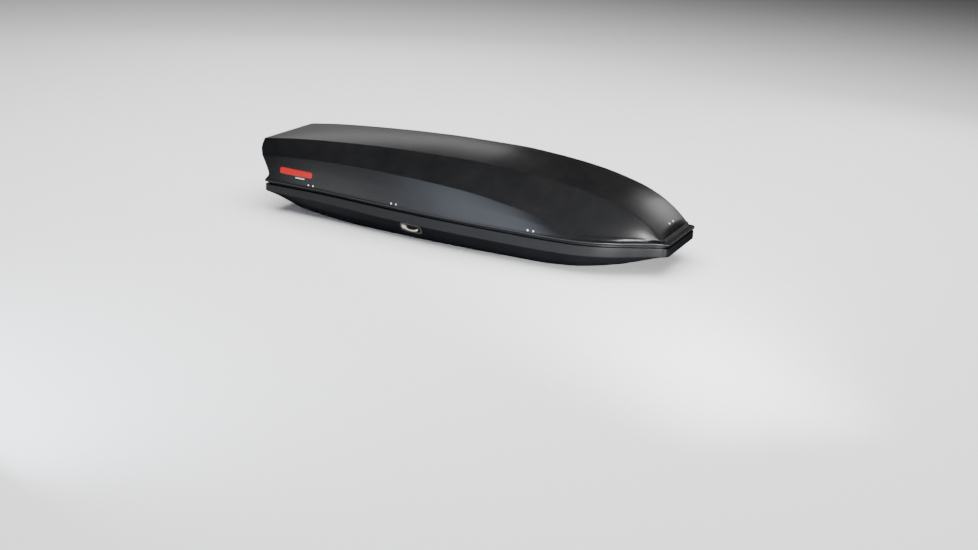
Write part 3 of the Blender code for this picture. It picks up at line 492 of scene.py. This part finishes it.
def lidLevels(stations, arcs, inner=True):
    d = lidDetail
    rear, nose = body["rearRim"] * halfLength, halfLength
    skirtTop = lidBottom + body["skirt"]
    n = (stations, arcs)
    levels = [
        ring(rear, nose, rimY, lambda x: lidBottom, *d["rimCorners"], *n),
        ring(rear, nose, lambda x: rimY(x) - d["skirtLean"], lambda x: skirtTop, *d["rimCorners"], *n),
        ring(rear + d["ledgeIn"], d["ledgeNose"] * halfLength, lambda x: rimY(x) - along("flange", x),
             lambda x: skirtTop + body["step"], *d["ledgeCorners"], *n),
    ]
    sideRear, sideNose = (share * halfLength for share in d["sideEnds"])
    creaseRear, creaseNose = (share * halfLength for share in d["creaseEnds"])
    side = ring(sideRear, sideNose, sideY, sideZ, *d["sideCorners"], *n)
    crease = ring(creaseRear, creaseNose, creaseY, creaseZ, *d["creaseCorners"], *n)
    # three levels flare from the flange up to the side's crease
    levels.append(towardRear(blendRings(levels[2], side, 0.22, 0.0015), 0.020, 0.15))
    if inner:  # the tail slants in and down to a tuck over the flange
        levels[3] = towardRear(levels[3], d["tailTuck"], 0.10)
        levels.append(towardRear(blendRings(levels[2], side, 0.40, 0.0020), d["tailHollow"], 0.10))
    levels.append(towardRear(blendRings(levels[2], side, 0.60, 0.0025), d["tailSlope"], 0.15))
    levels.append(side)
    shoulder = blendRings(side, crease, 0.5, 0.003)
    levels.append(towardRear(shoulder, -halfLength - shoulder[0][0], 0.13))
    levels.append(crease)
    if inner:
        inset = d["topInset"]
        levels.append(ring(creaseRear + inset, creaseNose - inset, lambda x: creaseY(x) - inset,
                           lambda x: topZ(x, creaseY(x) - inset), *d["topCorners"], *n))
    return levels


def makeLid(d):
    levels = lidLevels(d["stations"], d["arcs"])
    cuts = [0, d["skirtEdge"], d["flangeHollow"], d["flare"], d["flare"], d["flare"], d["sideCrease"],
            d["shoulder"], d["topCrease"], 0]

    def middle(x, y, z):
        return topZ(x, y) if abs(y) < creaseY(x) else z

    lid = meshPiece("lid", shellSkin(levels, cuts, d["steps"], d["across"], middle), lidPlastic)
    return walled(lid)


lid = makeLid(lidDetail)
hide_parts("lid_shell")
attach(lid, "lid")
print("lid made:", len(lid.data.polygons), "faces")


# base
baseDetail = {"stations": 150, "arcs": 8, "across": 24, "steps": 5,
              "upstandFoot": 0.002, "rimEdge": 0.0015, "line": 0.004, "belly": 0.018, "floorEdge": 0.010,
              "bellyOut": 0.010, "bellyDrop": 0.008, "rearFade": 0.12, "noseFade": 0.15,
              "floorEnds": (-0.858, 0.955), "floorInset": 0.02, "upstandCorners": (0.020, 0.020),
              "rimCorners": (0.025, 0.030), "floorCorners": (0.040, 0.030), "innerCorners": (0.030, 0.020)}


def baseLevels(stations, arcs, inner=True):
    d = baseDetail
    rear = body["rearRim"] * halfLength + body["rimInset"]
    nose = halfLength - body["rimInset"]
    ledge = body["ledge"]
    upstandTop = baseTop + body["upstand"]
    n = (stations, arcs)

    def outer(x):
        return rimY(x) - body["rimInset"]

    def upstandY(x):
        return outer(x) - ledge

    levels = [
        ring(rear + ledge, nose - ledge, upstandY, lambda x: upstandTop, *d["upstandCorners"], *n),
        ring(rear + ledge, nose - ledge, upstandY, lambda x: baseTop, *d["upstandCorners"], *n),
        ring(rear, nose, outer, lambda x: baseTop, *d["rimCorners"], *n),
        ring(rear, nose, outer, lineZ, *d["rimCorners"], *n),
    ]
    floorRear, floorNose = (share * halfLength for share in d["floorEnds"])
    floor = ring(floorRear, floorNose, floorY, floorZ, *d["floorCorners"], *n)
    belly = blendRings(levels[3], floor, 0.5, d["bellyOut"], d["bellyDrop"])
    steps = np.arange(len(belly)) / len(belly)
    belly[:, 2] += body["rearLift"] * np.maximum(0.0, 1 - steps / d["rearFade"])
    belly[:, 2] += body["noseLift"] * np.maximum(0.0, 1 - steps[::-1] / d["noseFade"])
    levels.append(belly)
    levels.append(floor)
    if inner:
        inset = d["floorInset"]
        levels.append(ring(floorRear + inset, floorNose - inset, lambda x: floorY(x) - inset, floorZ,
                           *d["innerCorners"], *n))
    return levels


def boolean(obj, other, operation):
    step = obj.modifiers.new(operation.lower(), "BOOLEAN")
    step.operation = operation
    step.solver = "EXACT"
    step.object = other
    applied(obj)
    bpy.data.objects.remove(other, do_unlink=True)


def chordFrame(first, second, station, height):
    # on the left wall: local X to the rear, local Y up the wall, local Z outward
    def at(x):
        found = []
        for level in (first, second):
            i = int(np.searchsorted(level[:, 0], x, side="right")) - 1
            share = (x - level[i, 0]) / (level[i + 1, 0] - level[i, 0])
            found.append(Vector(level[i] + (level[i + 1] - level[i]) * share))
        return found

    low, high = at(station)
    share = (height - low.z) / (high.z - low.z)
    place = low.lerp(high, share)
    ahead, behind = at(station + 0.02), at(station - 0.02)
    forward = (ahead[0].lerp(ahead[1], share) - behind[0].lerp(behind[1], share)).normalized()
    up = (high - low).normalized()
    outward = up.cross(forward).normalized()
    up = forward.cross(outward)
    return Matrix.Translation(place) @ Matrix((-forward, up, outward)).transposed().to_4x4()


def mirrorFrame(m):
    return Matrix.Diagonal((1.0, -1.0, 1.0, 1.0)) @ m @ Matrix.Diagonal((-1.0, 1.0, 1.0, 1.0))


leverSet = {"station": -0.1376 * halfLength, "height": 0.4586 * body["depth"], "pocketLength": 0.124,
            "pocketHeight": 0.050, "pocketCorner": 0.021, "gap": 0.0006, "through": 0.03}
clampSlots = {"stations": (-0.3003, 0.3670), "side": 0.6027, "halfLength": 0.042, "halfWidth": 0.009,
              "low": -0.01, "high": 0.02}
coarseBase = baseLevels(28, 2, False)
leverFrame = chordFrame(coarseBase[4], coarseBase[3], leverSet["station"], leverSet["height"])


def roundedBox(halfX, halfY, radius, steps=10):
    points = []
    for cx, cy, start in ((1, 1, 0), (-1, 1, 90), (-1, -1, 180), (1, -1, 270)):
        for k in range(steps + 1):
            a = math.radians(start + 90 * k / steps)
            points.append((cx * (halfX - radius) + radius * math.cos(a),
                           cy * (halfY - radius) + radius * math.sin(a)))
    return points


def prism(loop, low, high, matrix, work=None):
    # a flat outline given depth from low to high along the matrix's local Z
    made = bmesh.new() if work is None else work
    bottom = [made.verts.new(matrix @ Vector((x, y, low))) for x, y in loop]
    top = [made.verts.new(matrix @ Vector((x, y, high))) for x, y in loop]
    made.faces.new(bottom[::-1])
    made.faces.new(top)
    for k in range(len(loop)):
        j = (k + 1) % len(loop)
        made.faces.new((bottom[k], bottom[j], top[j], top[k]))
    bmesh.ops.recalc_face_normals(made, faces=made.faces)
    return made


def cutterPiece(work):
    return meshPiece("cutter", work, basePlastic, 0)


def makeBase(d):
    levels = baseLevels(d["stations"], d["arcs"])
    cuts = [0, d["upstandFoot"], d["rimEdge"], d["line"], d["belly"], d["floorEdge"], 0]
    skin = shellSkin(levels, cuts, d["steps"], d["across"], lambda x, y, z: z)
    obj = walled(meshPiece("base", skin, basePlastic))
    work = bmesh.new()
    pocketX = leverSet["pocketLength"] / 2 + leverSet["gap"]
    pocketY = leverSet["pocketHeight"] / 2 + leverSet["gap"]
    pocket = roundedBox(pocketX, pocketY, leverSet["pocketCorner"])
    for m in (leverFrame, mirrorFrame(leverFrame)):
        prism(pocket, -leverSet["through"], leverSet["through"], m, work)
    across, wide = clampSlots["halfLength"], clampSlots["halfWidth"]
    for share in clampSlots["stations"]:
        for side in (-1, 1):
            x, y = share * halfLength, side * clampSlots["side"] * halfWidth
            slot = [(x - across, y - wide), (x + across, y - wide), (x + across, y + wide), (x - across, y + wide)]
            prism(slot, clampSlots["low"], clampSlots["high"], Matrix.Identity(4), work)
    boolean(obj, cutterPiece(work), "DIFFERENCE")
    obj.data.shade_smooth()
    obj.data.set_sharp_from_angle(angle=math.radians(35))
    return obj


base = makeBase(baseDetail)
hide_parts("base_shell")
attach(base, "base")
print("base made:", len(base.data.polygons), "faces")


# repeated pieces from node trees
class Tree:
    # a Geometry Nodes tree with named inputs

    def __init__(self, name, **sizes):
        self.tree = bpy.data.node_groups.new(name, "GeometryNodeTree")
        face = self.tree.interface
        face.new_socket("Geometry", in_out="INPUT", socket_type="NodeSocketGeometry")
        face.new_socket("Geometry", in_out="OUTPUT", socket_type="NodeSocketGeometry")
        self.keys = {}
        for key, value in sizes.items():
            socket = face.new_socket(key, in_out="INPUT", socket_type="NodeSocketFloat")
            socket.default_value = value
            self.keys[key] = socket.identifier
        self.into = self.tree.nodes.new("NodeGroupInput")
        self.out = self.tree.nodes.new("NodeGroupOutput")

    def size(self, key):
        return Value(self.tree, self.into.outputs[key])

    def start(self):
        return Value(self.tree, self.into.outputs["Geometry"])

    def node(self, kind, settings=None, output=0, **inputs):
        node = self.tree.nodes.new(kind)
        for key, value in (settings or {}).items():
            setattr(node, key, value)
        for key, value in inputs.items():
            for one in (value if isinstance(value, list) else [value]):
                plug(self.tree, one, node.inputs[key.replace("_", " ")])
        return Value(self.tree, node.outputs[output])

    def finish(self, shape, material):
        realized = self.node("GeometryNodeRealizeInstances", Geometry=shape)
        painted = self.node("GeometryNodeSetMaterial", Geometry=realized, Material=material)
        self.tree.links.new(painted.socket, self.out.inputs[0])


def grownOnPoints(name, tree, places, sizes, material):
    # runs a tree on points that carry their own turn, and keeps the plain mesh
    mesh = bpy.data.meshes.new(name)
    mesh.from_pydata([m.translation for m in places], [], [])
    turns = mesh.attributes.new("turn", "FLOAT_VECTOR", "POINT")
    for k, m in enumerate(places):
        turns.data[k].vector = m.to_euler()
    obj = bpy.data.objects.new(name, mesh)
    scene.collection.objects.link(obj)
    step = obj.modifiers.new("grow", "NODES")
    step.node_group = tree.tree
    for key, value in sizes.items():
        step[tree.keys[key]] = value
    applied(obj)
    if not obj.data.materials:
        obj.data.materials.append(material)
    obj.data.shade_smooth()
    obj.data.set_sharp_from_angle(angle=math.radians(40))
    return obj


def rivetTree(material):
    # a domed head on a thin washer, with its shank and a set end on the inside
    t = Tree("rivet", headRadius=0.006, headHeight=0.0026, shankRadius=0.0022, grip=0.008)
    dome = t.node("GeometryNodeMeshUVSphere", Segments=24, Rings=14, Radius=1.0)
    scale = t.node("ShaderNodeCombineXYZ", X=t.size("headRadius") * 0.86, Y=t.size("headRadius") * 0.86,
                   Z=t.size("headHeight"))
    dome = t.node("GeometryNodeTransform", Geometry=dome, Scale=scale)
    washer = t.node("GeometryNodeMeshCylinder", Vertices=24, Radius=t.size("headRadius"), Depth=0.0009)
    shank = t.node("GeometryNodeMeshCylinder", Vertices=12, Radius=t.size("shankRadius"), Depth=t.size("grip"))
    down = t.node("ShaderNodeCombineXYZ", Z=t.size("grip") * -0.5)
    shank = t.node("GeometryNodeTransform", Geometry=shank, Translation=down)
    setEnd = t.node("GeometryNodeMeshCylinder", Vertices=24, Radius=t.size("headRadius"), Depth=0.0012)
    inside = t.node("ShaderNodeCombineXYZ", Z=t.size("grip") * -1.0)
    setEnd = t.node("GeometryNodeTransform", Geometry=setEnd, Translation=inside)
    rivet = t.node("GeometryNodeJoinGeometry", Geometry=[washer, dome, shank, setEnd])
    turn = t.node("GeometryNodeInputNamedAttribute", {"data_type": "FLOAT_VECTOR"}, Name="turn")
    turn = t.node("FunctionNodeEulerToRotation", Euler=turn)
    many = t.node("GeometryNodeInstanceOnPoints", Points=t.start(), Instance=rivet, Rotation=turn)
    t.finish(many, material)
    return t


rivets = {"stations": (-0.6839, -0.2269, 0.4437), "height": 0.031, "spacing": 0.030, "noseShare": 0.940,
          "noseSpacing": 0.060, "headRadius": 0.0047, "headHeight": 0.0026, "stand": 0.0004}


def noseFrame(x):
    step = 0.01
    slope = Vector((2 * step, 0, topZ(x + step, 0) - topZ(x - step, 0))).normalized()
    left = Vector((0, 1, 0))
    outward = slope.cross(left)
    return Matrix.Translation((x, 0, topZ(x, 0))) @ Matrix((left, -slope, outward)).transposed().to_4x4()


def seated(m):
    # the same frame, moved along its own Z onto the lid
    _, spot, normal, _ = lid.ray_cast(m @ Vector((0, 0, 0.05)), -(m.to_3x3() @ Vector((0, 0, 1))))
    made = m.copy()
    made.translation = spot + normal * rivets["stand"]
    return made


def rivetPlaces(r):
    lidCoarse = lidLevels(28, 2, False)
    places = []
    for share in r["stations"]:
        m = chordFrame(lidCoarse[3], lidCoarse[4], share * halfLength, seamZ + r["height"])
        for side in (-1, 1):
            offset = Matrix.Translation((side * r["spacing"] / 2, 0, 0))
            places += [seated(m @ offset), seated(mirrorFrame(m) @ offset)]
    for side in (-1, 1):
        offset = Matrix.Translation((side * r["noseSpacing"] / 2, 0, 0))
        places.append(seated(noseFrame(r["noseShare"] * halfLength) @ offset))
    return places


headRivets = grownOnPoints("lid_rivets", rivetTree(aluminium), rivetPlaces(rivets),
                           {"headRadius": rivets["headRadius"], "headHeight": rivets["headHeight"]}, aluminium)
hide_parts(*sorted(n for n in nodes if n.startswith("rivets")))
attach(headRivets, "lid")
print("rivets set:", len(rivetPlaces(rivets)))


# a plain printed bar and dash low on each side of the lid's tail
badge = {"bar": {"start": (-1.030, 0.225), "length": 0.215, "height": 0.034, "radius": 0.007},
         "dash": {"start": (-0.925, 0.212), "length": 0.062, "height": 0.007, "radius": 0.003},
         "lift": 0.0002, "thick": 0.0003}


def printed(name, tint, deep):
    f = Finish(name, **{"Specular IOR Level": 0.3})
    mottle = f.noise(420.0, 3.0)
    colour = f.between(mottle.above(0.35, 0.7), tint, deep)
    return f.wear(colour, mottle * 0.12 + 0.38, f.bump(mottle, 0.2, 0.00005))


def badgePart(name, shape, material):
    # the outline's rows of points are laid on the lid's side from outside
    work = bmesh.new()
    columns = 24
    rows = 6
    for side in (-1, 1):
        grid = []
        for k in range(columns + 1):
            x = shape["length"] * k / columns
            edge = min(x, shape["length"] - x)
            inset = 0.0
            if edge < shape["radius"]:
                height = shape["radius"] ** 2 - (shape["radius"] - edge) ** 2
                inset = shape["radius"] - math.sqrt(max(0.0, height))
            column = []
            for j in range(rows + 1):
                z = mix(inset, shape["height"] - inset, j / rows)
                place = Vector((shape["start"][0] + x, side, shape["start"][1] + z))
                _, spot, normal, _ = lid.ray_cast(place, Vector((0, -side, 0)))
                column.append(work.verts.new(spot + normal * badge["lift"]))
            grid.append(column)
        for first, second in zip(grid, grid[1:]):
            for a, b, c, d in zip(first, first[1:], second[1:], second):
                work.faces.new((a, b, c, d) if side < 0 else (d, c, b, a))
    for face in work.faces:
        face.normal_update()
        if face.normal.y * face.calc_center_median().y < 0:
            face.normal_flip()
    obj = meshPiece(name, work, material)
    wall = obj.modifiers.new("wall", "SOLIDIFY")
    wall.thickness = badge["thick"]
    wall.offset = 1.0
    applied(obj)
    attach(obj, "lid")


badgePart("badge_bar", badge["bar"], printed("red print", (0.42, 0.008, 0.006), (0.34, 0.006, 0.005)))
badgePart("badge_dash", badge["dash"], printed("pale print", (0.50, 0.51, 0.52), (0.40, 0.41, 0.42)))
print("badge laid on the lid")


# edges softened on the CAD's own hardware
def softened(node, material, width, segments=2, angle=30.0):
    # a copy of a node with its edges rounded, standing for it
    work = bmesh.new()
    work.from_mesh(nodes[node].data)
    bmesh.ops.remove_doubles(work, verts=work.verts, dist=2e-6)
    bmesh.ops.dissolve_degenerate(work, edges=work.edges, dist=1e-6)
    bmesh.ops.dissolve_limit(work, angle_limit=math.radians(1.0), verts=work.verts, edges=work.edges)
    obj = meshPiece("soft_" + node, work, material, 0)
    bevel = obj.modifiers.new("edge", "BEVEL")
    bevel.width = width
    bevel.segments = segments
    bevel.limit_method = "ANGLE"
    bevel.angle_limit = math.radians(angle)
    bevel.use_clamp_overlap = True
    applied(obj)
    obj.data.shade_smooth()
    obj.data.set_sharp_from_angle(angle=math.radians(40))
    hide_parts(node)
    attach(obj, nodes[node]["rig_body"])


def finishFor(node):
    rules = (("lever_bezel", mouldedPlastic), ("lever_", nickel), ("lock_barrel", lockMetal),
             ("clamp_body", mouldedPlastic), ("clamp_knob", mouldedPlastic), ("strap_buckle", mouldedPlastic),
             ("nose_guide_socket", mouldedPlastic), ("lid_rib", aluminium),
             ("cargo_strap", webbing))
    for start, material in rules:
        if node.startswith(start):
            return material
    return steel


softEdges = {"lever_bezel": 0.0008, "lever_": 0.0016, "lock_barrel": 0.0006, "clamp_": 0.0010,
             "strap_buckle": 0.0008}
for node in sorted(nodes):
    if node in ("lid_shell", "base_shell") or node.startswith("rivets"):
        continue
    nodes[node].data.materials.clear()
    nodes[node].data.materials.append(finishFor(node))
    for start, width in softEdges.items():
        if node.startswith(start):
            softened(node, finishFor(node), width)
            break
print("hardware finished")


# sewn boxes where each strap is doubled back beside its buckle
sewing = {"clear": 0.006, "length": 0.044, "inset": 0.0035, "pitch": 0.0042, "thread": 0.0006, "long": 0.0016}


def threadTree(material):
    t = Tree("thread", thickness=0.0006, halfStitch=0.0016)
    grain = t.node("GeometryNodeMeshUVSphere", Segments=8, Rings=6, Radius=1.0)
    shape = t.node("ShaderNodeCombineXYZ", X=t.size("thickness"), Y=t.size("halfStitch"), Z=t.size("thickness"))
    grain = t.node("GeometryNodeTransform", Geometry=grain, Scale=shape)
    turn = t.node("GeometryNodeInputNamedAttribute", {"data_type": "FLOAT_VECTOR"}, Name="turn")
    turn = t.node("FunctionNodeEulerToRotation", Euler=turn)
    many = t.node("GeometryNodeInstanceOnPoints", Points=t.start(), Instance=grain, Rotation=turn)
    t.finish(many, material)
    return t


def threadFinish():
    f = Finish("stitching thread", **{"Sheen Weight": 0.2})
    twist = f.noise(1400.0, 2.0)
    return f.wear(f.between(twist, (0.16, 0.16, 0.15), (0.30, 0.29, 0.27)), twist * 0.1 + 0.7,
                  f.bump(twist, 0.4, 0.0001))


def stitchPlaces(d, strap, buckle):
    low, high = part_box(strap)
    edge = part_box(buckle)[1][1] + d["clear"]
    left, right = low[0] + d["inset"], high[0] - d["inset"]
    lines = (((left, edge), (left, edge + d["length"])), ((right, edge), (right, edge + d["length"])),
             ((left, edge), (right, edge)), ((left, edge + d["length"]), (right, edge + d["length"])),
             ((left, edge), (right, edge + d["length"])), ((right, edge), (left, edge + d["length"])))
    places = []
    for start, end in lines:
        start, end = Vector(start), Vector(end)
        count = int((end - start).length / d["pitch"])
        angle = math.atan2(*(end - start)) * -1.0
        for k in range(count):
            x, y = start.lerp(end, (k + 0.5) / count)
            above = Vector((x, y, high[2] + 0.05))
            found, spot, normal, _ = nodes[strap].ray_cast(above, Vector((0, 0, -1)))
            if found:
                sunk = Matrix.Translation(spot + normal * d["thread"] * 0.3)
                places.append(sunk @ Matrix.Rotation(angle, 4, "Z"))
    return places


thread = threadFinish()
stitches = []
for end in ("rear", "front"):
    stitches += stitchPlaces(sewing, "cargo_strap_" + end, "strap_buckle_" + end)
strapStitches = grownOnPoints("strap_stitches", threadTree(thread), stitches,
                              {"thickness": sewing["thread"], "halfStitch": sewing["long"]}, thread)
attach(strapStitches, "base")
print("stitches sewn:", len(stitches))


# floor and light
studio = {
    "zenith": 0.03, "horizon": 0.12,
    "overhead": {"place": (0, 0, 6.0), "aim": (0, 0, 0), "size": (10, 10), "power": 1900, "seen": False},
    "behind": {"place": (-3.9, 5.0, 2.2), "aim": (-0.4, 0, 0.4), "size": (3.8, 1.6), "power": 34, "seen": True},
    "noseBehind": {"place": (1.8, 5.0, 2.1), "aim": (1.0, 0, 0.3), "size": (1.9, 1.8), "power": 42, "seen": True},
    "side": {"place": (-0.8, -3.2, 0.70), "aim": (0.3, 0, 0.25), "size": (1.9, 1.2), "power": 44, "seen": True,
             "colour": (0.76, 0.84, 1.0)},
    "front": {"place": (2.45, -2.15, 0.60), "aim": (0.95, -0.33, 0.15), "size": (0.8, 0.7), "power": 24,
              "seen": True, "spread": 60},
}


def addFloor():
    work = bmesh.new()
    bmesh.ops.create_grid(work, x_segments=1, y_segments=1, size=30)
    f = Finish("pale floor", Roughness=0.7)
    tone = f.noise(0.7, 3.0)
    floor = meshPiece("floor", work, f.wear(f.between(tone, (0.82, 0.82, 0.82), (0.84, 0.84, 0.84))), 0)
    floor.data.transform(Matrix.Translation((0, 0, -0.002)))


def addLight(name, light):
    data = bpy.data.lights.new(name, "AREA")
    data.shape = "RECTANGLE"
    data.size, data.size_y = light["size"]
    data.energy = light["power"]
    data.color = light.get("colour", (1, 1, 1))
    obj = bpy.data.objects.new(name, data)
    aim = Vector(light["aim"]) - Vector(light["place"])
    obj.matrix_world = Matrix.Translation(light["place"]) @ aim.to_track_quat("-Z", "Y").to_matrix().to_4x4()
    data.spread = math.radians(light.get("spread", 180))
    obj.visible_camera = False
    obj.visible_glossy = light["seen"]
    scene.collection.objects.link(obj)


def addWorld():
    world = bpy.data.worlds.new("studio")
    world.use_nodes = True
    tree = world.node_tree
    split = tree.nodes.new("ShaderNodeSeparateXYZ")
    tree.links.new(tree.nodes.new("ShaderNodeTexCoord").outputs["Generated"], split.inputs[0])
    height = Value(tree, split.outputs[2]).above(0.10, 0.65)
    glow = height * (studio["zenith"] - studio["horizon"]) + studio["horizon"]
    tree.links.new(glow.socket, tree.nodes["Background"].inputs["Strength"])
    scene.world = world


addFloor()
addWorld()
for name in ("overhead", "behind", "noseBehind", "side", "front"):
    addLight(name, studio[name])
print("floor and light set")
